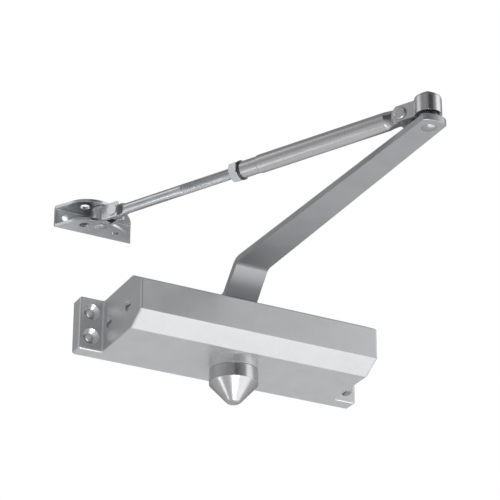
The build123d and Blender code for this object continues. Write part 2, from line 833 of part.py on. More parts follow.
# ------------------------------------------------------------------- elbow
head_base = washer_under + elbow_washer_height
dome_start = head_base + elbow_head_rim
dome_top = head_base + elbow_head_height
with BuildPart() as elbow_pin:
    with BuildSketch(Plane(origin=elbow_axis, x_dir=(1, 0, 0), z_dir=(0, -1, 0))):
        with BuildLine():
            ThreePointArc(*dome_arc(elbow_nub_radius, dome_top, elbow_nub_height))
            ThreePointArc(
                (elbow_nub_radius, dome_top),
                (elbow_head_radius * 0.75, dome_start + (dome_top - dome_start) * 0.66),
                (elbow_head_radius, dome_start),
            )
            Polyline(
                (elbow_head_radius, dome_start),
                (elbow_head_radius, head_base),
                (elbow_pin_radius, head_base),
                (elbow_pin_radius, arm_under),
                (elbow_peen_radius, arm_under),
            )
            ThreePointArc(*dome_arc(elbow_peen_radius, arm_under, -elbow_peen_height))
            Line((0, arm_under - elbow_peen_height), (0, dome_top + elbow_nub_height))
        make_face()
    revolve(axis=Axis((elbow_x, elbow_y, 0), (0, 0, 1)))


def make_ring(height, thickness, outer_radius):
    """Plain ring on the elbow pin, its outer edges broken."""
    with BuildPart() as ring:
        with BuildSketch(at_elbow(height)):
            Circle(outer_radius)
            Circle(elbow_pin_radius, mode=Mode.SUBTRACT)
        extrude(amount=thickness)
        ring_rims = ring.edges().filter_by(GeomType.CIRCLE).sort_by(SortBy.RADIUS)[-2:]
        chamfer(ring_rims, length=washer_chamfer)
    return ring


elbow_spacer = make_ring(arm_top, elbow_spacer_height, elbow_spacer_radius)
elbow_washer = make_ring(washer_under, elbow_washer_height, elbow_washer_radius)


def leaf_pair(part_plane, outer, leaf, gap_half, reach, hole_radius):
    """Plan of a strap wrapped round a pin, its two leaves reaching along +X."""
    with BuildSketch(part_plane) as plan:
        Circle(outer)
        with Locations((reach / 2, 0)):
            Rectangle(reach, 2 * (gap_half + leaf))
        Circle(hole_radius, mode=Mode.SUBTRACT)
        with Locations((reach, 0)):
            Rectangle(2 * (reach - 0.8 * hole_radius), 2 * gap_half, mode=Mode.SUBTRACT)
    return plan


with BuildPart() as elbow_strap:
    strap_gap = tube_tang_half + side_gap
    add(
        leaf_pair(
            over_forearm(0, strap_under),
            strap_outer_radius,
            strap_leaf,
            strap_gap,
            strap_reach,
            elbow_pin_radius + running,
        ).sketch
    )
    extrude(amount=strap_height)
    # Leaf ends rounded about the rivet
    with BuildSketch(beside_forearm(strap_rivet_at)):
        with Locations(((strap_reach - strap_rivet_at) / 2 + strap_height, 0)):
            Rectangle(strap_reach - strap_rivet_at + 2 * strap_height, 2 * strap_height)
        Circle(strap_reach - strap_rivet_at, mode=Mode.SUBTRACT)
        with Locations((-strap_height, 0)):
            Rectangle(2 * strap_height, 3 * strap_height, mode=Mode.SUBTRACT)
    extrude(amount=2 * strap_outer_radius, both=True, mode=Mode.SUBTRACT)
    with BuildSketch(beside_forearm(strap_rivet_at)):
        Circle(strap_rivet_radius)
    extrude(amount=2 * strap_outer_radius, both=True, mode=Mode.SUBTRACT)

with BuildPart() as elbow_rivet:
    rivet_half = tube_tang_half + side_gap + strap_leaf
    with BuildSketch(beside_forearm(strap_rivet_at)):
        Circle(strap_rivet_radius)
    extrude(amount=rivet_half, both=True)
    for side in (1, -1):
        with BuildSketch(beside_forearm(strap_rivet_at).offset(side * rivet_half)):
            Circle(strap_rivet_rim)
        extrude(amount=side * strap_rivet_height)
    head_rims = elbow_rivet.edges().filter_by(GeomType.CIRCLE).group_by(SortBy.RADIUS)[-1]
    head_rims = head_rims.sort_by(Axis(elbow_axis, forearm_side))
    fillet([head_rims[0], head_rims[-1]], radius=strap_rivet_round)

# ----------------------------------------------------------------- forearm
with BuildPart() as forearm_tube:
    tang_back = strap_rivet_at - tube_tang_end
    with BuildSketch(beside_forearm(strap_rivet_at)):
        Circle(tang_back)
        with Locations(((tube_neck_start - strap_rivet_at) / 2, 0)):
            Rectangle(tube_neck_start - strap_rivet_at, tube_tang_height)
    extrude(amount=tube_tang_half, both=True)
    with BuildSketch(across_forearm(tube_neck_start)):
        Rectangle(2 * tube_tang_half, tube_tang_height)
    with BuildSketch(across_forearm(tube_neck_end)):
        Circle(tube_radius)
    loft()
    with BuildSketch(across_forearm(tube_neck_end)):
        Circle(tube_radius)
    extrude(amount=tube_step - tube_neck_end)
    with BuildSketch(across_forearm(tube_step)):
        Circle(collar_radius)
    extrude(amount=tube_end - tube_step)
    tube_step_rim = forearm_tube.edges().filter_by(
        lambda edge: (edge.arc_center - across_forearm(tube_step).origin).length < 0.01
        if edge.geom_type == GeomType.CIRCLE
        else False
    )
    chamfer(tube_step_rim.sort_by(SortBy.RADIUS)[-1], length=tube_step_chamfer)
    with BuildSketch(across_forearm(tube_bore_start)):
        Circle(rod_radius + running)
    extrude(amount=tube_end - tube_bore_start, mode=Mode.SUBTRACT)
    with BuildSketch(beside_forearm(strap_rivet_at)):
        Circle(strap_rivet_radius + running)
    extrude(amount=2 * tube_tang_half, both=True, mode=Mode.SUBTRACT)

with BuildPart() as lock_washer:
    with BuildSketch(across_forearm(tube_end)):
        Circle(lock_washer_radius)
        Circle(rod_radius + running, mode=Mode.SUBTRACT)
    extrude(amount=lock_washer_height)

with BuildPart() as lock_nut:
    nut_start = tube_end + lock_washer_height + running
    with BuildSketch(across_forearm(nut_start)):
        RegularPolygon(nut_flats / 2, 6, major_radius=False, rotation=30)
    extrude(amount=nut_height)
    # Both corners of every flat turned down to a cone
    with BuildSketch(beside_forearm(nut_start)):
        with BuildLine():
            Polyline(
                (0, 0),
                (0, nut_flats / 2),
                (nut_chamfer, nut_flats / 2 / cos(pi / 6)),
                (nut_height - nut_chamfer, nut_flats / 2 / cos(pi / 6)),
                (nut_height, nut_flats / 2),
                (nut_height, 0),
                close=True,
            )
        make_face()
    revolve(
        axis=Axis(across_forearm(nut_start).origin, forearm_direction),
        mode=Mode.INTERSECT,
    )
    with BuildSketch(across_forearm(nut_start)):
        Circle(rod_radius + running)
    extrude(amount=nut_height, mode=Mode.SUBTRACT)

with BuildPart() as adjusting_rod:
    round_end = link_rivet_s - rod_neck_length - rod_neck_setback
    with BuildSketch(across_forearm(rod_start)):
        Circle(rod_radius)
    extrude(amount=thread_end - rod_start)
    with BuildSketch(across_forearm(thread_end)):
        Circle(shank_radius)
    extrude(amount=round_end - thread_end)
    with BuildSketch(across_forearm(round_end)):
        Circle(shank_radius)
    with BuildSketch(across_forearm(round_end + rod_neck_length * 0.4)):
        Rectangle(2 * rod_tang_half, rod_tang_height - 1)
    loft()
    with BuildSketch(beside_forearm(link_rivet_s)):
        Circle(rod_tang_end)
        with Locations((-(link_rivet_s - round_end - rod_neck_length * 0.4) / 2, 0)):
            Rectangle(link_rivet_s - round_end - rod_neck_length * 0.4, rod_tang_height - 1)
        Rectangle(4 * rod_tang_end, rod_tang_height, mode=Mode.INTERSECT)
    extrude(amount=rod_tang_half, both=True)
    with BuildSketch(beside_forearm(link_rivet_s)):
        Circle(link_rivet_radius + running)
    extrude(amount=2 * rod_tang_half, both=True, mode=Mode.SUBTRACT)

# -------------------------------------------------------------- shoe link
link_under = forearm_z - link_height / 2
link_plane = Plane(
    origin=shoe_axis + Vector(0, 0, link_under), x_dir=-forearm_direction, z_dir=(0, 0, 1)
)
with BuildPart() as shoe_link:
    add(
        leaf_pair(
            link_plane,
            link_outer_radius,
            link_leaf,
            rod_tang_half + side_gap,
            link_reach,
            shoe_pin_radius + running,
        ).sketch
    )
    extrude(amount=link_height)
    with BuildSketch(beside_forearm(link_rivet_s)):
        Circle(link_rivet_radius)
    extrude(amount=2 * link_outer_radius, both=True, mode=Mode.SUBTRACT)

with BuildPart() as link_rivet:
    link_half = rod_tang_half + side_gap + link_leaf
    with BuildSketch(beside_forearm(link_rivet_s)):
        Circle(link_rivet_radius)
    extrude(amount=link_half, both=True)
    for side in (1, -1):
        with BuildSketch(beside_forearm(link_rivet_s).offset(side * link_half)):
            Circle(link_rivet_rim)
        extrude(amount=side * rivet_rim_height)
    fillet(
        link_rivet.edges().filter_by(GeomType.CIRCLE).sort_by(SortBy.RADIUS)[-2:],
        radius=rivet_rim_round,
    )

# ------------------------------------------------------------ shoe bracket
shoe_under = forearm_z - shoe_height / 2
shoe_back_y = forearm_end_y + shoe_pin_from_back
shoe_left_x = forearm_end_x - shoe_pin_from_end
shoe_plan = Plane(
    origin=(shoe_left_x, shoe_back_y, shoe_under), x_dir=(1, 0, 0), z_dir=(0, 0, 1)
)
with BuildPart() as shoe_bracket:
    with BuildSketch(shoe_plan):
        with BuildLine():
            Line((0, 0), (0, -shoe_sheet))
            Line((0, -shoe_sheet), (shoe_length * 0.1, -shoe_depth * 0.48))
            ThreePointArc(
                (shoe_length * 0.1, -shoe_depth * 0.48),
                (shoe_length * 0.24, -shoe_depth * 0.88),
                (shoe_length * 0.45, -shoe_depth),
            )
            Line((shoe_length * 0.45, -shoe_depth), (shoe_length * 0.62, -shoe_depth * 0.92))
            ThreePointArc(
                (shoe_length * 0.62, -shoe_depth * 0.92),
                (shoe_length * 0.86, -shoe_depth * 0.56),
                (shoe_length, -shoe_sheet),
            )
            Line((shoe_length, -shoe_sheet), (shoe_length, 0))
            Line((shoe_length, 0), (0, 0))
        make_face()
    extrude(amount=shoe_height)
    with BuildSketch(shoe_plan.offset(shoe_sheet)):
        with Locations((shoe_length / 2, -shoe_sheet - shoe_depth)):
            Rectangle(2 * shoe_length, 2 * shoe_depth)
    extrude(amount=shoe_height - 2 * shoe_sheet, mode=Mode.SUBTRACT)
    # The two bends along the back web, outside and inside
    lengthwise = shoe_bracket.edges().filter_by(Axis.X).filter_by(GeomType.LINE)
    outer_bends = lengthwise.filter_by_position(Axis.Y, shoe_back_y - 0.1, shoe_back_y + 0.1)
    fillet(outer_bends, radius=shoe_bend_radius)
    lengthwise = shoe_bracket.edges().filter_by(Axis.X).filter_by(GeomType.LINE)
    inner_bends = lengthwise.filter_by_position(
        Axis.Y, shoe_back_y - shoe_sheet - 0.1, shoe_back_y - shoe_sheet + 0.1
    )
    fillet(inner_bends, radius=shoe_inner_bend)
    # Pivot, screwdriver access and locating holes through both flanges
    for from_end, from_back, radius in (
        (shoe_pin_from_end, shoe_pin_from_back, shoe_pin_radius),
        (shoe_access_from_end, shoe_access_from_back, shoe_access_radius),
        (shoe_small_from_end, shoe_small_from_back, shoe_small_radius),
    ):
        with BuildSketch(shoe_plan):
            with Locations((from_end, -from_back)):
                Circle(radius)
        extrude(amount=shoe_height, mode=Mode.SUBTRACT)
    with BuildSketch(Plane.XZ.offset(-shoe_back_y)):
        with Locations((shoe_left_x + shoe_length / 2, forearm_z)):
            with GridLocations(shoe_length - 2 * shoe_screw_inset, 1, 2, 1):
                Circle(shoe_screw_radius)
    extrude(amount=shoe_sheet, mode=Mode.SUBTRACT)

pin_top = shoe_under + shoe_height
with BuildPart() as shoe_pin:
    with BuildSketch(Plane(origin=shoe_axis, x_dir=(1, 0, 0), z_dir=(0, -1, 0))):
        with BuildLine():
            ThreePointArc(
                *dome_arc(
                    shoe_pin_head_radius,
                    pin_top + shoe_pin_head_rim,
                    shoe_pin_head_height - shoe_pin_head_rim,
                )
            )
            Polyline(
                (shoe_pin_head_radius, pin_top + shoe_pin_head_rim),
                (shoe_pin_head_radius, pin_top),
                (shoe_pin_radius, pin_top),
                (shoe_pin_radius, shoe_under),
                (shoe_pin_peen_radius, shoe_under),
            )
            ThreePointArc(
                *dome_arc(shoe_pin_peen_radius, shoe_under, -shoe_pin_peen_height)
            )
            Line(
                (0, shoe_under - shoe_pin_peen_height), (0, pin_top + shoe_pin_head_height)
            )
        make_face()
    revolve(axis=Axis((forearm_end_x, forearm_end_y, 0), (0, 0, 1)))

# ------------------------------------------------------------------ export
pieces = {
    "body_casing": body_casing,
    "channel_plug": channel_plug,
    "upper_bearing": upper_bearing,
    "lower_bearing": lower_bearing,
    "upper_seal": upper_seal,
    "lower_seal": lower_seal,
    "upper_gland": upper_gland,
    "lower_gland": lower_gland,
    "spindle_cap": spindle_cap,
    "end_plug": end_plug,
    "plug_seal": plug_seal,
    "closing_valve": closing_valve,
    "latching_valve": latching_valve,
    "closing_valve_seal": closing_valve_seal,
    "latching_valve_seal": latching_valve_seal,
    "pinion_spindle": pinion_spindle,
    "piston": piston,
    "piston_seal": piston_seal,
    "check_valve_seat": check_valve_seat,
    "check_ball": check_ball,
    "outer_spring": outer_spring,
    "inner_spring": inner_spring,
    "spring_seat": spring_seat,
    "spring_adjuster": spring_adjuster,
    "main_arm": main_arm,
    "arm_washer": arm_washer,
    "arm_screw": arm_screw,
    "elbow_pin": elbow_pin,
    "elbow_spacer": elbow_spacer,
    "elbow_washer": elbow_washer,
    "elbow_strap": elbow_strap,
    "elbow_rivet": elbow_rivet,
    "forearm_tube": forearm_tube,
    "lock_washer": lock_washer,
    "lock_nut": lock_nut,
    "adjusting_rod": adjusting_rod,
    "shoe_link": shoe_link,
    "link_rivet": link_rivet,
    "shoe_bracket": shoe_bracket,
    "shoe_pin": shoe_pin,
}
os.makedirs("parts", exist_ok=True)
for name, piece in pieces.items():
    piece.part.label = name
    export_step(piece.part, f"parts/{name}.step")
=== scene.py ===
import json
from math import cos, pi, radians, sin

import bmesh
import bpy
from bpy.props import FloatProperty, FloatVectorProperty, IntProperty, PointerProperty
from mathutils import Matrix, Vector


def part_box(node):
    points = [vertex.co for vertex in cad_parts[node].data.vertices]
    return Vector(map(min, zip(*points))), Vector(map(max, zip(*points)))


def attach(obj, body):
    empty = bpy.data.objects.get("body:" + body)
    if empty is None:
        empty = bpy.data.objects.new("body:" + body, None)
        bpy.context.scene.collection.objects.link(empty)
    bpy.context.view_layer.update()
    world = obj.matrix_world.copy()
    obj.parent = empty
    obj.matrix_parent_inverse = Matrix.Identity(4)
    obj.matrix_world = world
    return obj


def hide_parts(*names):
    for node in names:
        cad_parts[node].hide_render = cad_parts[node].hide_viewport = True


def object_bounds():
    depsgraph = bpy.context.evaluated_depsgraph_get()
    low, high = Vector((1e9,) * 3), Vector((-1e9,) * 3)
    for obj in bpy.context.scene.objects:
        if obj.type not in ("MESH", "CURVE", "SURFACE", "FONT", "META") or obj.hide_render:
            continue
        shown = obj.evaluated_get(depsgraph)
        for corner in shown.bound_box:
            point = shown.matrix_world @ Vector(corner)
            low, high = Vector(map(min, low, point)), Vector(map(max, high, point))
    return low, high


bl_info = {
    "name": "Door Closer",
    "version": (1, 0, 0),
    "blender": (4, 5, 0),
    "location": "View3D > Sidebar > Door Closer",
    "description": "Finishes and fine pieces for a surface-mounted door closer, and its studio",
    "category": "Object",
}

# ------------------------------------------------------------------ frame

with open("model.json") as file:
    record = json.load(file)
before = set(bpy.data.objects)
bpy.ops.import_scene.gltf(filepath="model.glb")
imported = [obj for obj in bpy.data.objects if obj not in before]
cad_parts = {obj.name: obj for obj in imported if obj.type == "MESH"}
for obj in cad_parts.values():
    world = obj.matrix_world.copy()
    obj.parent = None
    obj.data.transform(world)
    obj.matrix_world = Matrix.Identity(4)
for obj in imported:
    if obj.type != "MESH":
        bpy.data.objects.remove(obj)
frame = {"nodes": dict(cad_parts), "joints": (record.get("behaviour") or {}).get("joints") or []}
CAD_LOW, CAD_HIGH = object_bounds()
JOINTS = {joint["name"]: joint for joint in frame["joints"]}
UP = Vector((0, 0, 1))
ALONG_CASING = Vector((1, 0, 0))
INTO_DOOR = Vector((0, 1, 0))
ELBOW = Vector(JOINTS["elbow_turn"]["pos_m"])
FOREARM = Vector(JOINTS["rod_screw"]["axis"]).normalized()
LINK_RIVET = Vector(JOINTS["link_tilt"]["pos_m"])
TILT_AXIS = Vector(JOINTS["forearm_tilt"]["axis"]).normalized()
CENTRE = (CAD_LOW + CAD_HIGH) / 2

# Each lug of the casing, and the round where it leaves the end face, in metres.
LUG_WIDTH = 0.019
LUG_ROOT_ROUND = 0.003
LUG_ROOT_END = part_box("body_casing")[1].x - LUG_WIDTH + LUG_ROOT_ROUND


def middle(node):
    """Centre of a CAD node's box."""
    low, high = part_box(node)
    return (low + high) / 2


def along_forearm(node):
    """Where a CAD node starts and ends, measured along the forearm from the elbow."""
    reach = [(vertex.co - ELBOW).dot(FOREARM) for vertex in frame["nodes"][node].data.vertices]
    return min(reach), max(reach)


# ------------------------------------------------------------- properties


class CLOSER_PG_finish(bpy.types.PropertyGroup):
    """Colours and wear of the closer's finishes."""

    body_paint: FloatVectorProperty(
        name="Body paint",
        description="Silver paint on the casing",
        subtype="COLOR",
        size=3,
        min=0,
        max=1,
        default=(0.61, 0.62, 0.625),
    )
    arm_paint: FloatVectorProperty(
        name="Arm paint",
        description="Silver paint on the flat arm",
        subtype="COLOR",
        size=3,
        min=0,
        max=1,
        default=(0.44, 0.45, 0.46),
    )
    chrome: FloatVectorProperty(
        name="Cap plating",
        description="Polished plating on the spindle cap",
        subtype="COLOR",
        size=3,
        min=0,
        max=1,
        default=(0.52, 0.52, 0.53),
    )
    zinc: FloatVectorProperty(
        name="Zinc plating",
        description="Bright zinc on the rod, nut, screws and bracket",
        subtype="COLOR",
        size=3,
        min=0,
        max=1,
        default=(0.62, 0.64, 0.655),
    )
    steel: FloatVectorProperty(
        name="Bright steel",
        description="Polished steel of the tube and the straps",
        subtype="COLOR",
        size=3,
        min=0,
        max=1,
        default=(0.60, 0.60, 0.61),
    )
    # Dark steel colour. On the elbow spacer it is also painted shade of the narrow gap between
    # the strap's sleeve and the arm.
    dark_steel: FloatVectorProperty(
        name="Dark steel",
        description="Oiled steel of the elbow spacer and the lock washer",
        subtype="COLOR",
        size=3,
        min=0,
        max=1,
        default=(0.085, 0.087, 0.09),
    )
    brass: FloatVectorProperty(
        name="Brass",
        description="Turned brass of the check valve",
        subtype="COLOR",
        size=3,
        min=0,
        max=1,
        default=(0.52, 0.40, 0.20),
    )
    rubber: FloatVectorProperty(
        name="Rubber",
        description="Oil-proof rubber of the seals",
        subtype="COLOR",
        size=3,
        min=0,
        max=1,
        default=(0.022, 0.022, 0.024),
    )
    edge_round: FloatProperty(
        name="Edge rounding",
        description="Radius that the light sees on edges that the model leaves sharp",
        unit="LENGTH",
        min=0,
        default=0.00035,
    )
    wear: FloatProperty(
        name="Edge wear",
        description="How much of the finish has rubbed off along the edges",
        subtype="FACTOR",
        min=0,
        max=1,
        default=0.45,
    )


class CLOSER_PG_rod(bpy.types.PropertyGroup):
    """Sizes of the threaded adjusting rod."""

    thread_radius: FloatProperty(
        name="Thread radius",
        description="Outer radius of the thread",
        unit="LENGTH",
        default=0.00398,
    )
    thread_pitch: FloatProperty(
        name="Thread pitch",
        description="Advance of the thread in one turn",
        unit="LENGTH",
        default=0.00125,
    )
    thread_length: FloatProperty(
        name="Thread length",
        description="Threaded length from the rod's inner end",
        unit="LENGTH",
        default=0.097,
    )
    shank_radius: FloatProperty(
        name="Shank radius",
        description="Radius of the plain stretch",
        unit="LENGTH",
        default=0.00393,
    )
    tang_half: FloatProperty(
        name="Tang half thickness",
        description="Half the thickness of the flattened end",
        unit="LENGTH",
        default=0.00223,
    )
    tang_height: FloatProperty(
        name="Tang height",
        description="Upright height of the flattened end",
        unit="LENGTH",
        default=0.0095,
    )
    neck: FloatProperty(
        name="Neck length",
        description="Stretch over which the round shank turns into the flat end",
        unit="LENGTH",
        default=0.0045,
    )
    around: IntProperty(
        name="Points around",
        description="Mesh points in one turn of the rod",
        min=12,
        default=40,
    )


class CLOSER_PG_stage(bpy.types.PropertyGroup):
    """Camera, floor and lights."""

    azimuth: FloatProperty(
        name="Azimuth",
        description="Turn of the camera about the closer, from the front",
        subtype="ANGLE",
        default=radians(-27.65),
    )
    elevation: FloatProperty(
        name="Elevation",
        description="Height angle of the camera; negative looks up from below",
        subtype="ANGLE",
        default=radians(-26.35),
    )
    distance: FloatProperty(
        name="Distance",
        description="Camera to the plane through the closer's middle",
        unit="LENGTH",
        default=1.46562,
    )
    aim_right: FloatProperty(
        name="Aim right",
        description="How far right of the closer's middle the camera aims",
        unit="LENGTH",
        default=-0.02953,
    )
    aim_up: FloatProperty(
        name="Aim up",
        description="How far above the closer's middle the camera aims",
        unit="LENGTH",
        default=0.00641,
    )
    lens: FloatProperty(
        name="Lens",
        description="Focal length on a 36 mm sensor",
        subtype="DISTANCE_CAMERA",
        default=151.2,
    )
    floor_drop: FloatProperty(
        name="Floor drop",
        description="How far the floor lies below the closer",
        unit="LENGTH",
        default=1.4,
    )
    floor_size: FloatProperty(
        name="Floor size",
        description="Side of the floor",
        unit="LENGTH",
        default=12.0,
    )


# ----------------------------------------------------------- node helpers


# Places of the Mix node's inputs and outputs, which share their names.
MIX_FACTOR = 0
FIRST_VALUE, SECOND_VALUE, MIXED_VALUE = 2, 3, 0
FIRST_COLOUR, SECOND_COLOUR, MIXED_COLOUR = 6, 7, 2


def feed(tree, node, inputs):
    """Sets a node's inputs, each to a number, a colour or the socket that feeds it."""
    for key, value in inputs.items():
        if isinstance(value, bpy.types.NodeSocket):
            tree.links.new(value, node.inputs[key])
        else:
            node.inputs[key].default_value = value


def put(tree, kind, inputs=None, **settings):
    """Adds a node with its settings and its inputs."""
    made = tree.nodes.new(kind)
    for key, value in settings.items():
        setattr(made, key, value)
    feed(tree, made, inputs or {})
    return made


def effect(name, inputs, outputs):
    """A new node group with its input and output sockets."""
    tree = bpy.data.node_groups.new(name, "ShaderNodeTree")
    for label, kind, value in inputs:
        socket = tree.interface.new_socket(label, in_out="INPUT", socket_type=kind)
        if kind != "NodeSocketVector":
            socket.default_value = value
    for label, kind in outputs:
        tree.interface.new_socket(label, in_out="OUTPUT", socket_type=kind)
    way_in = tree.nodes.new("NodeGroupInput")
    way_out = tree.nodes.new("NodeGroupOutput")
    return tree, way_in.outputs, way_out.inputs


def ranged(tree, value, low, high, to_low=0.0, to_high=1.0):
    """Maps a value from one range to another, without leaving it."""
    inputs = {
        "Value": value,
        "From Min": low,
        "From Max": high,
        "To Min": to_low,
        "To Max": to_high,
    }
    return put(tree, "ShaderNodeMapRange", inputs).outputs["Result"]


def mixed(tree, factor, first, second):
    """Colour between two colours."""
    inputs = {MIX_FACTOR: factor, FIRST_COLOUR: first, SECOND_COLOUR: second}
    return put(tree, "ShaderNodeMix", inputs, data_type="RGBA").outputs[MIXED_COLOUR]


def between(tree, factor, first, second):
    """Value between two values."""
    inputs = {MIX_FACTOR: factor, FIRST_VALUE: first, SECOND_VALUE: second}
    return put(tree, "ShaderNodeMix", inputs, data_type="FLOAT").outputs[MIXED_VALUE]


def product(tree, first, second):
    """Two values multiplied."""
    node = put(tree, "ShaderNodeMath", {0: first, 1: second}, operation="MULTIPLY")
    return node.outputs["Value"]


def total(tree, first, second):
    """Two values added."""
    node = put(tree, "ShaderNodeMath", {0: first, 1: second}, operation="ADD")
    return node.outputs["Value"]


# --------------------------------------------------------- shared effects


# How far the softened normal leans from the face where an edge begins, as a cosine,
# and where it counts in full.
EDGE_BEGINS, EDGE_FULL = 0.995, 0.90

# Width of a drawn line as a share of its length.
LINE_SQUEEZE = 0.02

# Marks and flakes are finer than the clouds and the orange peel they lie in.
MARKS_FINER, FLAKES_FINER = 3.7, 2.6

# Part of a noise's range that lines and clouds are stretched from.
NOISE_LOW, NOISE_HIGH = 0.3, 0.7


def soft_edges():
    """Rounded light on sharp edges, and a mask of where those edges are."""
    tree, given, result = effect(
        "soft_edges",
        [("Radius", "NodeSocketFloat", 0.0004)],
        [("Normal", "NodeSocketVector"), ("Edge", "NodeSocketFloat")],
    )
    bevel = put(tree, "ShaderNodeBevel", {"Radius": given["Radius"]}, samples=6)
    surface = put(tree, "ShaderNodeNewGeometry")
    turned_away = put(
        tree,
        "ShaderNodeVectorMath",
        {0: bevel.outputs["Normal"], 1: surface.outputs["Normal"]},
        operation="DOT_PRODUCT",
    )
    edge = ranged(tree, turned_away.outputs["Value"], EDGE_BEGINS, EDGE_FULL)
    tree.links.new(bevel.outputs["Normal"], result["Normal"])
    tree.links.new(edge, result["Edge"])
    return tree


def rubbed_edges():
    """Breaks an edge mask into uneven rubbed patches."""
    tree, given, result = effect(
        "rubbed_edges",
        [
            ("Vector", "NodeSocketVector", None),
            ("Edge", "NodeSocketFloat", 0.0),
            ("Amount", "NodeSocketFloat", 0.5),
        ],
        [("Mask", "NodeSocketFloat")],
    )
    patches = put(
        tree,
        "ShaderNodeTexNoise",
        {"Vector": given["Vector"], "Scale": 420.0, "Detail": 5.0, "Roughness": 0.65},
    )
    uneven = ranged(tree, patches.outputs["Fac"], 0.42, 0.62, 0.15, 1.0)
    mask = product(tree, given["Edge"], uneven)
    tree.links.new(product(tree, mask, given["Amount"]), result["Mask"])
    return tree


def cloudiness():
    """Slow uneven change over a surface, with handling marks in it."""
    tree, given, result = effect(
        "cloudiness",
        [("Vector", "NodeSocketVector", None), ("Scale", "NodeSocketFloat", 60.0)],
        [("Cloud", "NodeSocketFloat"), ("Marks", "NodeSocketFloat")],
    )
    cloud = put(
        tree,
        "ShaderNodeTexNoise",
        {"Vector": given["Vector"], "Scale": given["Scale"], "Detail": 4.0, "Roughness": 0.55},
    )
    marks = put(
        tree,
        "ShaderNodeTexNoise",
        {
            "Vector": given["Vector"],
            "Scale": product(tree, given["Scale"], MARKS_FINER),
            "Detail": 6.0,
            "Roughness": 0.7,
            "Distortion": 0.8,
        },
    )
    spread = ranged(tree, cloud.outputs["Fac"], NOISE_LOW, NOISE_HIGH)
    tree.links.new(spread, result["Cloud"])
    tree.links.new(ranged(tree, marks.outputs["Fac"], 0.56, 0.72), result["Marks"])
    return tree


def paint_grain():
    """Orange-peel height and metal flake of sprayed silver paint."""
    tree, given, result = effect(
        "paint_grain",
        [("Vector", "NodeSocketVector", None), ("Scale", "NodeSocketFloat", 1400.0)],
        [("Height", "NodeSocketFloat"), ("Flake", "NodeSocketFloat")],
    )
    peel = put(
        tree,
        "ShaderNodeTexNoise",
        {"Vector": given["Vector"], "Scale": given["Scale"], "Detail": 2.0, "Roughness": 0.5},
    )
    flakes = put(
        tree,
        "ShaderNodeTexVoronoi",
        {"Vector": given["Vector"], "Scale": product(tree, given["Scale"], FLAKES_FINER)},
        feature="F1",
    )
    shade = put(tree, "ShaderNodeSeparateColor", {"Color": flakes.outputs["Color"]})
    tree.links.new(peel.outputs["Fac"], result["Height"])
    tree.links.new(shade.outputs["Red"], result["Flake"])
    return tree


def drawn_lines():
    """Fine lines along local Z, as drawing or polishing along a bar leaves them."""
    tree, given, result = effect(
        "drawn_lines",
        [("Vector", "NodeSocketVector", None), ("Density", "NodeSocketFloat", 2500.0)],
        [("Lines", "NodeSocketFloat")],
    )
    stretch = put(tree, "ShaderNodeCombineXYZ", {"X": 1.0, "Y": 1.0, "Z": LINE_SQUEEZE})
    long_way = put(
        tree,
        "ShaderNodeVectorMath",
        {0: given["Vector"], 1: stretch.outputs["Vector"]},
        operation="MULTIPLY",
    )
    lines = put(
        tree,
        "ShaderNodeTexNoise",
        {
            "Vector": long_way.outputs["Vector"],
            "Scale": given["Density"],
            "Detail": 3.0,
            "Roughness": 0.6,
        },
    )
    spread = ranged(tree, lines.outputs["Fac"], NOISE_LOW, NOISE_HIGH)
    tree.links.new(spread, result["Lines"])
    return tree


def turned_rings():
    """Fine rings about local Z, as a lathe tool or a polishing mop leaves them."""
    tree, given, result = effect(
        "turned_rings",
        [("Vector", "NodeSocketVector", None), ("Density", "NodeSocketFloat", 2500.0)],
        [("Lines", "NodeSocketFloat")],
    )
    parts = put(tree, "ShaderNodeSeparateXYZ", {"Vector": given["Vector"]})
    flat = put(tree, "ShaderNodeCombineXYZ", {"X": parts.outputs["X"], "Y": parts.outputs["Y"]})
    radius = put(tree, "ShaderNodeVectorMath", {0: flat.outputs["Vector"]}, operation="LENGTH")
    rings = put(
        tree,
        "ShaderNodeCombineXYZ",
        {"X": radius.outputs["Value"], "Y": 0.0, "Z": parts.outputs["Z"]},
    )
    lines = put(
        tree,
        "ShaderNodeTexNoise",
        {
            "Vector": rings.outputs["Vector"],
            "Scale": given["Density"],
            "Detail": 3.0,
            "Roughness": 0.65,
        },
    )
    spread = ranged(tree, lines.outputs["Fac"], NOISE_LOW, NOISE_HIGH)
    tree.links.new(spread, result["Lines"])
    return tree


EFFECTS = {
    "soft_edges": soft_edges,
    "rubbed_edges": rubbed_edges,
    "cloudiness": cloudiness,
    "paint_grain": paint_grain,
    "drawn_lines": drawn_lines,
    "turned_rings": turned_rings,
}


def use(tree, name, **inputs):
    """Places a shared effect in a material, making it the first time."""
    group = bpy.data.node_groups.get(name) or EFFECTS[name]()
    return put(tree, "ShaderNodeGroup", inputs, node_tree=group).outputs


# -------------------------------------------------------------- materials


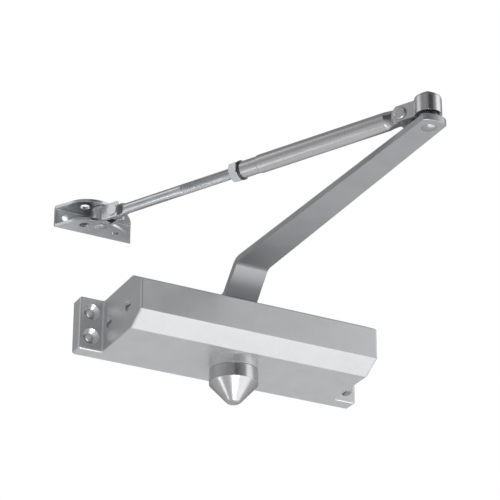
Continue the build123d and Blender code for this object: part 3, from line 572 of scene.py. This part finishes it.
class Surface:
    """A new material with its shader, its own coordinates and its softened edges."""

    def __init__(self, name, origin, axis):
        finish = bpy.context.scene.closer_finish
        self.material = bpy.data.materials.new(name)
        self.material.use_nodes = True
        self.tree = self.material.node_tree
        self.shader = self.tree.nodes["Principled BSDF"]
        place = put(self.tree, "ShaderNodeTexCoord")
        local = put(
            self.tree,
            "ShaderNodeMapping",
            {
                "Vector": place.outputs["Object"],
                "Location": origin,
                "Rotation": axis.to_track_quat("Z", "Y").to_euler(),
            },
            vector_type="TEXTURE",
        )
        self.place = local.outputs["Vector"]
        self.edges = use(self.tree, "soft_edges", Radius=finish.edge_round)
        self.worn = use(
            self.tree,
            "rubbed_edges",
            Vector=self.place,
            Edge=self.edges["Edge"],
            Amount=finish.wear,
        )["Mask"]
        self.clouds = use(self.tree, "cloudiness", Vector=self.place)

    def colour(self, socket):
        """Feeds the base colour."""
        self.tree.links.new(socket, self.shader.inputs["Base Color"])

    def rough(self, socket):
        """Feeds the roughness."""
        self.tree.links.new(socket, self.shader.inputs["Roughness"])

    def relief(self, height, strength, depth):
        """Bump over the softened edges; depth is its full height in metres."""
        bump = put(
            self.tree,
            "ShaderNodeBump",
            {
                "Height": height,
                "Strength": strength,
                "Distance": depth,
                "Normal": self.edges["Normal"],
            },
        )
        self.tree.links.new(bump.outputs["Normal"], self.shader.inputs["Normal"])

    def metallic(self, share):
        """Sets how metallic the whole surface is."""
        self.shader.inputs["Metallic"].default_value = share


def opaque(colour, share=1.0):
    """RGBA of a property's colour, darkened or lightened by a share."""
    return tuple(min(1.0, part * share) for part in colour[:3]) + (1.0,)


def silver_paint(name, origin, axis, colour):
    """Sprayed satin silver: flakes, orange peel, cloudy gloss, bright rubbed edges."""
    made = Surface(name, origin, axis)
    tree = made.tree
    grain = use(tree, "paint_grain", Vector=made.place)
    base = mixed(tree, made.clouds["Cloud"], opaque(colour, 0.95), opaque(colour, 1.04))
    sparkle = ranged(tree, grain["Flake"], 0.0, 1.0, 0.0, 0.35)
    flaked = mixed(tree, sparkle, base, opaque(colour, 1.3))
    smudge = product(tree, made.clouds["Marks"], 0.10)
    handled = mixed(tree, smudge, flaked, opaque(colour, 0.7))
    made.colour(mixed(tree, made.worn, handled, opaque(colour, 1.35)))
    gloss = ranged(tree, made.clouds["Cloud"], 0.0, 1.0, 0.36, 0.44)
    made.rough(total(tree, gloss, product(tree, made.clouds["Marks"], 0.06)))
    made.relief(grain["Height"], strength=0.22, depth=0.00003)
    made.metallic(0.82)
    return made.material


def polished_metal(name, origin, axis, colour, lines, rough, contrast=0.10, density=2500.0):
    """Polished or plated metal with fine lines, cloudy gloss and bright rubbed edges.

    rough holds the least and the greatest roughness, contrast is how far the lines
    lighten and darken the colour, and density is how many there are to the metre.
    """
    made = Surface(name, origin, axis)
    tree = made.tree
    marks = use(tree, lines, Vector=made.place, Density=density)["Lines"]
    base = mixed(tree, marks, opaque(colour, 1 - contrast), opaque(colour, 1 + contrast))
    stain = product(tree, made.clouds["Marks"], 0.18)
    stained = mixed(tree, stain, base, opaque(colour, 0.6))
    made.colour(mixed(tree, made.worn, stained, opaque(colour, 1.25)))
    blend = total(tree, product(tree, marks, 0.5), product(tree, made.clouds["Cloud"], 0.5))
    made.rough(ranged(tree, blend, 0.0, 1.0, *rough))
    made.relief(marks, strength=0.10, depth=0.00002)
    made.metallic(1.0)
    return made.material


# A countersink's cone as the door-side part of its normal: a lug's flat front is -1, the
# cone is about -0.7 and the wall of the drilled hole is 0. Between the two values of a
# pair the bare metal fades from none to full.
FLAT_FRONT = (-0.95, -0.90)
DRILLED_WALL = (-0.45, -0.50)
LUG_FADE = 0.0003
BARE_ROUGHNESS = 0.22


def body_paint(name, origin, axis):
    """Silver paint on the casing, with bare metal in the lugs' countersinks."""
    finish = bpy.context.scene.closer_finish
    material = silver_paint(name, origin, axis, finish.body_paint)
    tree = material.node_tree
    colour, gloss = (
        tree.nodes["Principled BSDF"].inputs[label] for label in ("Base Color", "Roughness")
    )
    place = put(tree, "ShaderNodeTexCoord")
    spot = put(tree, "ShaderNodeSeparateXYZ", {"Vector": place.outputs["Object"]})
    facing = put(tree, "ShaderNodeSeparateXYZ", {"Vector": place.outputs["Normal"]})
    outward = put(tree, "ShaderNodeMath", {0: spot.outputs["X"]}, operation="ABSOLUTE")
    on_lug = ranged(tree, outward.outputs["Value"], LUG_ROOT_END, LUG_ROOT_END + LUG_FADE)
    not_flat = ranged(tree, facing.outputs["Y"], *FLAT_FRONT)
    not_upright = ranged(tree, facing.outputs["Y"], *DRILLED_WALL)
    bare = product(tree, on_lug, product(tree, not_flat, not_upright))
    painted, painted_gloss = (socket.links[0].from_socket for socket in (colour, gloss))
    tree.links.new(mixed(tree, bare, painted, opaque(finish.steel, 1.25)), colour)
    tree.links.new(between(tree, bare, painted_gloss, BARE_ROUGHNESS), gloss)
    return material


def arm_paint(name, origin, axis):
    """Silver paint on the flat arm, darker than the casing's."""
    return silver_paint(name, origin, axis, bpy.context.scene.closer_finish.arm_paint)


def plain_metal(source, share, lines, rough, **pattern):
    """Finish of polished metal in a share of one of the properties' colours."""

    def finish(name, origin, axis):
        """Makes the material for one piece."""
        colour = [part * share for part in getattr(bpy.context.scene.closer_finish, source)]
        return polished_metal(name, origin, axis, colour, lines, rough, **pattern)

    return finish


cap_chrome = plain_metal(
    "chrome", 1.0, "turned_rings", (0.20, 0.30), contrast=0.05, density=1800.0
)
drawn_steel = plain_metal("steel", 1.0, "drawn_lines", (0.24, 0.34))
turned_steel = plain_metal("steel", 1.0, "turned_rings", (0.20, 0.34))
ground_steel = plain_metal(
    "steel", 0.8, "turned_rings", (0.16, 0.30), contrast=0.12, density=3200.0
)
spring_wire = plain_metal(
    "steel", 0.42, "drawn_lines", (0.24, 0.42), contrast=0.2, density=1600.0
)
ground_iron = plain_metal(
    "steel", 0.55, "turned_rings", (0.30, 0.48), contrast=0.15, density=2000.0
)
turned_brass = plain_metal(
    "brass", 1.0, "turned_rings", (0.22, 0.38), contrast=0.16, density=2400.0
)


def zinc_plate(name, origin, axis):
    """Bright zinc: slightly blue, cloudy, with a fine grain under the plating."""
    finish = bpy.context.scene.closer_finish
    made = Surface(name, origin, axis)
    tree = made.tree
    grain = use(tree, "paint_grain", Vector=made.place, Scale=900.0)
    base = mixed(tree, made.clouds["Cloud"], opaque(finish.zinc, 0.86), opaque(finish.zinc, 1.1))
    spangled = mixed(tree, product(tree, grain["Flake"], 0.25), base, opaque(finish.zinc, 1.25))
    stain = product(tree, made.clouds["Marks"], 0.25)
    stained = mixed(tree, stain, spangled, opaque(finish.zinc, 0.55))
    made.colour(mixed(tree, made.worn, stained, opaque(finish.zinc, 1.4)))
    made.rough(ranged(tree, made.clouds["Cloud"], 0.0, 1.0, 0.22, 0.36))
    made.relief(grain["Height"], strength=0.16, depth=0.00003)
    made.metallic(1.0)
    return made.material


def dark_steel(name, origin, axis):
    """Oiled dark steel with turned rings; the rubbed edges show bare metal. On the elbow spacer
    the dark colour is also painted shade of the narrow gap between the strap's sleeve and the
    arm.
    """
    finish = bpy.context.scene.closer_finish
    made = Surface(name, origin, axis)
    tree = made.tree
    marks = use(tree, "turned_rings", Vector=made.place, Density=2200.0)["Lines"]
    base = mixed(tree, marks, opaque(finish.dark_steel, 0.8), opaque(finish.dark_steel, 1.25))
    film = product(tree, made.clouds["Marks"], 0.4)
    oiled = mixed(tree, film, base, opaque(finish.dark_steel, 0.5))
    made.colour(mixed(tree, made.worn, oiled, opaque(finish.steel, 0.8)))
    made.rough(ranged(tree, made.clouds["Cloud"], 0.0, 1.0, 0.16, 0.30))
    made.relief(marks, strength=0.12, depth=0.00002)
    made.metallic(0.9)
    return made.material


def seal_rubber(name, origin, axis):
    """Matt black rubber with moulding grain and a dusty bloom."""
    finish = bpy.context.scene.closer_finish
    made = Surface(name, origin, axis)
    tree = made.tree
    grain = use(tree, "paint_grain", Vector=made.place, Scale=1100.0)
    bloom = mixed(tree, made.clouds["Cloud"], opaque(finish.rubber), opaque(finish.rubber, 2.2))
    made.colour(mixed(tree, made.worn, bloom, opaque(finish.rubber, 4.0)))
    made.rough(ranged(tree, made.clouds["Cloud"], 0.0, 1.0, 0.55, 0.78))
    made.relief(grain["Height"], strength=0.35, depth=0.00004)
    return made.material


def dress(finish, axis, *nodes):
    """Gives each CAD node its own copy of a finish, centred on the node."""
    for node in nodes:
        material = finish(f"{node}_finish", middle(node), axis)
        slots = frame["nodes"][node].data.materials
        slots.clear()
        slots.append(material)


# -------------------------------------------------------------- CAD pieces


class CLOSER_OT_casing(bpy.types.Operator):
    """Paints the casing and finishes what is set in it"""

    bl_idname = "closer.casing"
    bl_label = "Casing"

    def execute(self, context):
        dress(body_paint, ALONG_CASING, "body_casing")
        dress(ground_steel, INTO_DOOR, "channel_plug")
        dress(turned_steel, ALONG_CASING, "end_plug")
        dress(zinc_plate, ALONG_CASING, "spring_adjuster")
        dress(seal_rubber, ALONG_CASING, "plug_seal")
        return {"FINISHED"}


class CLOSER_OT_spindle(bpy.types.Operator):
    """Finishes the spindle, its bearings, seals and glands, and the cap below it"""

    bl_idname = "closer.spindle"
    bl_label = "Spindle and cap"

    def execute(self, context):
        dress(cap_chrome, UP, "spindle_cap")
        dress(ground_steel, UP, "pinion_spindle", "upper_bearing", "lower_bearing")
        dress(turned_steel, UP, "upper_gland", "lower_gland")
        dress(seal_rubber, UP, "upper_seal", "lower_seal")
        return {"FINISHED"}


class CLOSER_OT_hydraulics(bpy.types.Operator):
    """Finishes the piston, the springs and the speed valves"""

    bl_idname = "closer.hydraulics"
    bl_label = "Piston, springs and valves"

    def execute(self, context):
        dress(ground_iron, ALONG_CASING, "piston")
        dress(seal_rubber, ALONG_CASING, "piston_seal")
        dress(seal_rubber, ALONG_CASING, "closing_valve_seal", "latching_valve_seal")
        dress(turned_brass, ALONG_CASING, "check_valve_seat")
        dress(zinc_plate, ALONG_CASING, "closing_valve", "latching_valve")
        dress(ground_steel, ALONG_CASING, "check_ball")
        dress(spring_wire, ALONG_CASING, "outer_spring", "inner_spring")
        dress(turned_steel, ALONG_CASING, "spring_seat")
        return {"FINISHED"}


class CLOSER_OT_main_arm(bpy.types.Operator):
    """Paints the flat arm and plates its screw and washer"""

    bl_idname = "closer.main_arm"
    bl_label = "Main arm"

    def execute(self, context):
        dress(arm_paint, INTO_DOOR, "main_arm")
        dress(zinc_plate, UP, "arm_washer", "arm_screw")
        return {"FINISHED"}


class CLOSER_OT_elbow(bpy.types.Operator):
    """Finishes the elbow's pin, rings, strap and rivet"""

    bl_idname = "closer.elbow"
    bl_label = "Elbow"

    def execute(self, context):
        dress(ground_steel, UP, "elbow_pin", "elbow_washer")
        # The spacer is a real part. Its dark finish also stands in for the shade in the narrow
        # gap between the strap's sleeve and the arm, so part of it is painted shade.
        dress(dark_steel, UP, "elbow_spacer")
        dress(drawn_steel, UP, "elbow_strap")
        dress(turned_steel, TILT_AXIS, "elbow_rivet")
        return {"FINISHED"}


class CLOSER_OT_forearm(bpy.types.Operator):
    """Finishes the tube, the lock washer and the nut"""

    bl_idname = "closer.forearm"
    bl_label = "Forearm tube and nut"

    def execute(self, context):
        dress(drawn_steel, FOREARM, "forearm_tube")
        dress(dark_steel, FOREARM, "lock_washer")
        dress(zinc_plate, FOREARM, "lock_nut")
        return {"FINISHED"}


class CLOSER_OT_shoe(bpy.types.Operator):
    """Finishes the link, its rivet, the bracket and its pin"""

    bl_idname = "closer.shoe"
    bl_label = "Shoe"

    def execute(self, context):
        dress(drawn_steel, UP, "shoe_link")
        dress(turned_steel, TILT_AXIS, "link_rivet")
        dress(zinc_plate, UP, "shoe_bracket")
        dress(turned_steel, UP, "shoe_pin")
        return {"FINISHED"}


# ----------------------------------------------------------- adjusting rod


def forearm_point(reach, side, height):
    """Point beside the forearm's axis, reach metres from the elbow."""
    return ELBOW + FOREARM * reach + TILT_AXIS * side + UP * height


# Corners of a metric thread: how far along the pitch each lies, and how deep, as a share
# of the thread's depth. The depth is a fixed share of the pitch.
THREAD_CORNERS = ((0.0, 0), (0.125, 0), (0.4375, 1), (0.6875, 1))
THREAD_DEPTH = 0.5413

# How far the thread's ends are chamfered below the shank, and how near points are one.
END_CHAMFER = 0.0003
SAME_POINT = 0.000002


def add_thread(mesh, start, end, sizes):
    """Closed threaded bar whose rows follow the helix, chamfered at both ends."""
    turns = int((end - start) / sizes.thread_pitch) + 3
    end_radius = sizes.shank_radius - END_CHAMFER
    rows = []
    for turn in range(turns):
        for along, deep in THREAD_CORNERS:
            radius = sizes.thread_radius - THREAD_DEPTH * sizes.thread_pitch * deep
            points = []
            for step in range(sizes.around + 1):
                share = step / sizes.around
                reach = start + sizes.thread_pitch * (turn - 1 + along + share)
                reach = min(max(reach, start), end)
                held = min(radius, end_radius + min(reach - start, end - reach))
                angle = 2 * pi * step / sizes.around
                points.append(
                    mesh.verts.new(forearm_point(reach, held * cos(angle), held * sin(angle)))
                )
            rows.append(points)
    for near, far in zip(rows, rows[1:]):
        for step in range(sizes.around):
            mesh.faces.new((near[step], near[step + 1], far[step + 1], far[step]))
    bmesh.ops.remove_doubles(mesh, verts=mesh.verts[:], dist=SAME_POINT)
    bmesh.ops.dissolve_degenerate(mesh, dist=SAME_POINT, edges=mesh.edges[:])
    rims = [edge for edge in mesh.edges if edge.is_boundary]
    bmesh.ops.holes_fill(mesh, edges=rims, sides=0)


def superellipse(angle, half_width, half_height, power):
    """Point of a rounded rectangle; power 2 is an ellipse, and more is squarer."""
    across, upward = cos(angle), sin(angle)
    width = half_width * abs(across) ** (2 / power) * (1 if across >= 0 else -1)
    height = half_height * abs(upward) ** (2 / power) * (1 if upward >= 0 else -1)
    return width, height


# Sections of the shank: how square the round bar and the pressed end are, the play
# before the pressed end, and the steps of the neck and of the rounded tip.
ROUND_BAR, PRESSED_BAR = 2.0, 7.0
TANG_PLAY = 0.0005
NECK_STEPS, TIP_STEPS = 10, 20


def add_shank(mesh, start, rivet, end, sizes):
    """Plain shank that is pressed flat at its end, round about the link's rivet."""
    tip_radius = end - rivet
    flat_start = rivet - tip_radius - TANG_PLAY
    neck_start = flat_start - sizes.neck
    half_tang = sizes.tang_height / 2
    stations = [(start, sizes.shank_radius, sizes.shank_radius, ROUND_BAR)]
    for step in range(NECK_STEPS + 1):
        share = step / NECK_STEPS
        ease = share * share * (3 - 2 * share)
        stations.append(
            (
                neck_start + sizes.neck * share,
                sizes.shank_radius + (sizes.tang_half - sizes.shank_radius) * ease,
                sizes.shank_radius + (half_tang - sizes.shank_radius) * ease,
                ROUND_BAR + (PRESSED_BAR - ROUND_BAR) * ease,
            )
        )
    for step in range(1, TIP_STEPS):
        angle = (pi / 2) * step / TIP_STEPS
        half_height = min(half_tang, tip_radius * cos(angle))
        reach = rivet + tip_radius * sin(angle)
        stations.append((reach, sizes.tang_half, half_height, PRESSED_BAR))
    rings = []
    for reach, half_width, half_height, power in stations:
        ring = []
        for step in range(sizes.around):
            side, height = superellipse(
                2 * pi * step / sizes.around, half_width, half_height, power
            )
            ring.append(mesh.verts.new(forearm_point(reach, side, height)))
        rings.append(ring)
    for near, far in zip(rings, rings[1:]):
        for step in range(sizes.around):
            after = (step + 1) % sizes.around
            mesh.faces.new((near[step], near[after], far[after], far[step]))
    mesh.faces.new(reversed(rings[0]))
    mesh.faces.new(rings[-1])


SHARP_ANGLE = radians(25)


def finished_object(name, mesh, material):
    """Object from a bmesh, with outward faces, and edges sharp above an angle."""
    bmesh.ops.recalc_face_normals(mesh, faces=mesh.faces[:])
    data = bpy.data.meshes.new(name)
    mesh.to_mesh(data)
    mesh.free()
    for polygon in data.polygons:
        polygon.use_smooth = True
    data.set_sharp_from_angle(angle=SHARP_ANGLE)
    data.materials.append(material)
    piece = bpy.data.objects.new(name, data)
    bpy.context.scene.collection.objects.link(piece)
    return piece


class CLOSER_OT_rod(bpy.types.Operator):
    """Makes the adjusting rod with its real thread and its flattened end"""

    bl_idname = "closer.rod"
    bl_label = "Adjusting rod"

    def execute(self, context):
        sizes = context.scene.closer_rod
        start, end = along_forearm("adjusting_rod")
        thread_end = start + sizes.thread_length
        rivet = (LINK_RIVET - ELBOW).dot(FOREARM)
        mesh = bmesh.new()
        add_thread(mesh, start, thread_end, sizes)
        add_shank(mesh, thread_end - 2 * sizes.thread_pitch, rivet, end, sizes)
        material = zinc_plate("rod_finish", ELBOW, FOREARM)
        piece = finished_object("threaded_rod", mesh, material)
        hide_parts("adjusting_rod")
        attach(piece, "rod")
        return {"FINISHED"}


# ------------------------------------------------------------------ stage


FLOOR_LOW, FLOOR_HIGH = (0.84, 0.84, 0.84, 1), (0.88, 0.88, 0.88, 1)
FLOOR_GLOW = 0.30
CARD_BLACK = (0.02, 0.02, 0.02, 1)


def floor_material():
    """Pale matt floor with a very slight mottle, which glows to light the underside."""
    material = bpy.data.materials.new("floor_finish")
    material.use_nodes = True
    tree = material.node_tree
    place = put(tree, "ShaderNodeTexCoord")
    mottle = put(tree, "ShaderNodeTexNoise", {"Vector": place.outputs["Object"], "Scale": 6.0})
    tone = mixed(tree, mottle.outputs["Fac"], FLOOR_LOW, FLOOR_HIGH)
    inputs = {
        "Base Color": tone,
        "Roughness": 0.9,
        "Emission Color": (1.0, 1.0, 1.0, 1.0),
        "Emission Strength": FLOOR_GLOW,
    }
    feed(tree, tree.nodes["Principled BSDF"], inputs)
    return material


def flat_sheet(name, width, height, placed, material):
    """Flat rectangle, put where a matrix says."""
    mesh = bmesh.new()
    corners = [
        mesh.verts.new((x * width / 2, y * height / 2, 0))
        for x, y in ((-1, -1), (1, -1), (1, 1), (-1, 1))
    ]
    mesh.faces.new(corners)
    mesh.transform(placed)
    return finished_object(name, mesh, material)


def floor_piece(stage):
    """Large plane, far enough below the closer for the camera to stand above it."""
    level = Matrix.Translation((0, 0, CAD_LOW.z - stage.floor_drop))
    floor = flat_sheet("floor", stage.floor_size, stage.floor_size, level, floor_material())


def turned_to(position, target):
    """Rotation that points an object's -Z from one place to another."""
    return (Vector(target) - Vector(position)).to_track_quat("-Z", "Y")


def dark_card(position, target, width, height):
    """Black card that only reflections see."""
    material = bpy.data.materials.new("card_finish")
    material.use_nodes = True
    shader = material.node_tree.nodes["Principled BSDF"]
    shader.inputs["Base Color"].default_value = CARD_BLACK
    placed = Matrix.Translation(position) @ turned_to(position, target).to_matrix().to_4x4()
    card = flat_sheet("dark_card", width, height, placed, material)
    card.visible_camera = False
    card.visible_diffuse = False
    card.visible_shadow = False


# Each lamp: name, place, width, height, watts, and whether reflections see it.
LAMPS = (
    ("front_box", (1.60, -1.15, 0.60), 1.5, 1.5, 8.0, True),
    ("under_box", (0.40, -0.30, -0.84), 0.75, 0.85, 1.9, True),
    ("low_box", (-0.16, -0.60, -0.92), 0.36, 0.6, 2.8, True),
    ("left_box", (-1.10, 0.22, 0.70), 0.7, 0.6, 1.0, True),
    ("rod_box", (-0.80, 0.24, -0.76), 0.22, 0.30, 0.45, True),
    ("top_box", (-0.4, 0.4, 1.6), 1.2, 1.2, 5.0, False),
)
CARD_PLACE = (-0.12, -1.00, 0.50)
CARD_WIDTH, CARD_HEIGHT = 0.55, 0.7


def softbox(name, position, target, width, height, power, glossy):
    """Rectangular area light that the camera doesn't see."""
    light = bpy.data.lights.new(name, "AREA")
    light.shape = "RECTANGLE"
    light.size = width
    light.size_y = height
    light.energy = power
    lamp = bpy.data.objects.new(name, light)
    lamp.location = position
    lamp.rotation_euler = turned_to(position, target).to_euler()
    lamp.visible_camera = False
    lamp.visible_glossy = glossy
    bpy.context.scene.collection.objects.link(lamp)


# Light from around: its colours straight below and above, and between them each stop's
# height, from 0 below to 1 above, and its grey. The greys are slightly blue.
SKY_BELOW, SKY_ABOVE = (0.9, 0.9, 0.9, 1), (0.30, 0.30, 0.31, 1)
SKY_BETWEEN = ((0.32, 0.42), (0.5, 0.40), (0.72, 0.34))
SKY_BLUE = 1.02


def studio_world():
    """White to the camera, and a soft gradient for light and reflections."""
    world = bpy.data.worlds.new("studio")
    bpy.context.scene.world = world
    world.use_nodes = True
    tree = world.node_tree
    tree.nodes.clear()
    place = put(tree, "ShaderNodeTexCoord")
    parts = put(tree, "ShaderNodeSeparateXYZ", {"Vector": place.outputs["Generated"]})
    height = ranged(tree, parts.outputs["Z"], -1.0, 1.0)
    ramp = put(tree, "ShaderNodeValToRGB", {"Fac": height})
    stops = ramp.color_ramp.elements
    stops[0].color = SKY_BELOW
    stops[1].color = SKY_ABOVE
    for position, tone in SKY_BETWEEN:
        stops.new(position).color = (tone, tone, tone * SKY_BLUE, 1)
    around = put(tree, "ShaderNodeBackground", {"Color": ramp.outputs["Color"], "Strength": 1.0})
    seen = put(tree, "ShaderNodeBackground", {"Color": (1, 1, 1, 1), "Strength": 1.0})
    path = put(tree, "ShaderNodeLightPath")
    choice = put(
        tree,
        "ShaderNodeMixShader",
        {0: path.outputs["Is Camera Ray"], 1: around.outputs[0], 2: seen.outputs[0]},
    )
    out = put(tree, "ShaderNodeOutputWorld")
    tree.links.new(choice.outputs[0], out.inputs["Surface"])


SENSOR_WIDTH = 36.0
NEAREST_SEEN = 0.05


def aimed_camera(stage):
    """Camera at its azimuth and elevation about the closer's middle."""
    turn, rise = stage.azimuth, stage.elevation
    toward = Vector((-sin(turn) * cos(rise), cos(turn) * cos(rise), -sin(rise)))
    right = toward.cross(UP).normalized()
    upward = right.cross(toward)
    aim = CENTRE + right * stage.aim_right + upward * stage.aim_up
    lens = bpy.data.cameras.new("camera")
    lens.lens = stage.lens
    lens.sensor_width = SENSOR_WIDTH
    lens.clip_start = NEAREST_SEEN
    camera = bpy.data.objects.new("camera", lens)
    facing = Matrix((right, upward, -toward)).transposed().to_4x4()
    camera.matrix_world = Matrix.Translation(aim - toward * stage.distance) @ facing
    bpy.context.scene.collection.objects.link(camera)
    bpy.context.scene.camera = camera


class CLOSER_OT_stage(bpy.types.Operator):
    """Sets the camera, the pale floor and the soft studio light"""

    bl_idname = "closer.stage"
    bl_label = "Stage"

    def execute(self, context):
        stage = context.scene.closer_stage
        context.scene.view_settings.view_transform = "Standard"
        floor_piece(stage)
        studio_world()
        aimed_camera(stage)
        for name, place, width, height, power, glossy in LAMPS:
            softbox(name, place, CENTRE, width, height, power, glossy)
        dark_card(CARD_PLACE, CENTRE, CARD_WIDTH, CARD_HEIGHT)
        return {"FINISHED"}


# ------------------------------------------------------------------ panel

OPERATORS = (
    CLOSER_OT_stage,
    CLOSER_OT_casing,
    CLOSER_OT_spindle,
    CLOSER_OT_hydraulics,
    CLOSER_OT_main_arm,
    CLOSER_OT_elbow,
    CLOSER_OT_forearm,
    CLOSER_OT_rod,
    CLOSER_OT_shoe,
)


class CLOSER_PT_panel(bpy.types.Panel):
    """Lists the closer's pieces and the sizes and colours behind them"""

    bl_idname = "CLOSER_PT_panel"
    bl_label = "Door Closer"
    bl_space_type = "VIEW_3D"
    bl_region_type = "UI"
    bl_category = "Door Closer"

    def draw(self, context):
        for operator in OPERATORS:
            self.layout.operator(operator.bl_idname)
        for group_name, group_class in GROUPS.items():
            column = self.layout.column(align=True)
            for name in group_class.__annotations__:
                column.prop(getattr(context.scene, group_name), name)


GROUPS = {
    "closer_finish": CLOSER_PG_finish,
    "closer_rod": CLOSER_PG_rod,
    "closer_stage": CLOSER_PG_stage,
}


def register():
    """Registers the properties, the operators and the panel."""
    for name, group in GROUPS.items():
        bpy.utils.register_class(group)
        setattr(bpy.types.Scene, name, PointerProperty(type=group))
    for operator in OPERATORS:
        bpy.utils.register_class(operator)
    bpy.utils.register_class(CLOSER_PT_panel)


def unregister():
    """Takes back what register did."""
    bpy.utils.unregister_class(CLOSER_PT_panel)
    for operator in reversed(OPERATORS):
        bpy.utils.unregister_class(operator)
    for name, group in reversed(GROUPS.items()):
        delattr(bpy.types.Scene, name)
        bpy.utils.unregister_class(group)


def main():
    """Makes every piece and the stage."""
    register()
    for operator in OPERATORS:
        module, name = operator.bl_idname.split(".")
        getattr(getattr(bpy.ops, module), name)()


if __name__ == "__main__":
    main()
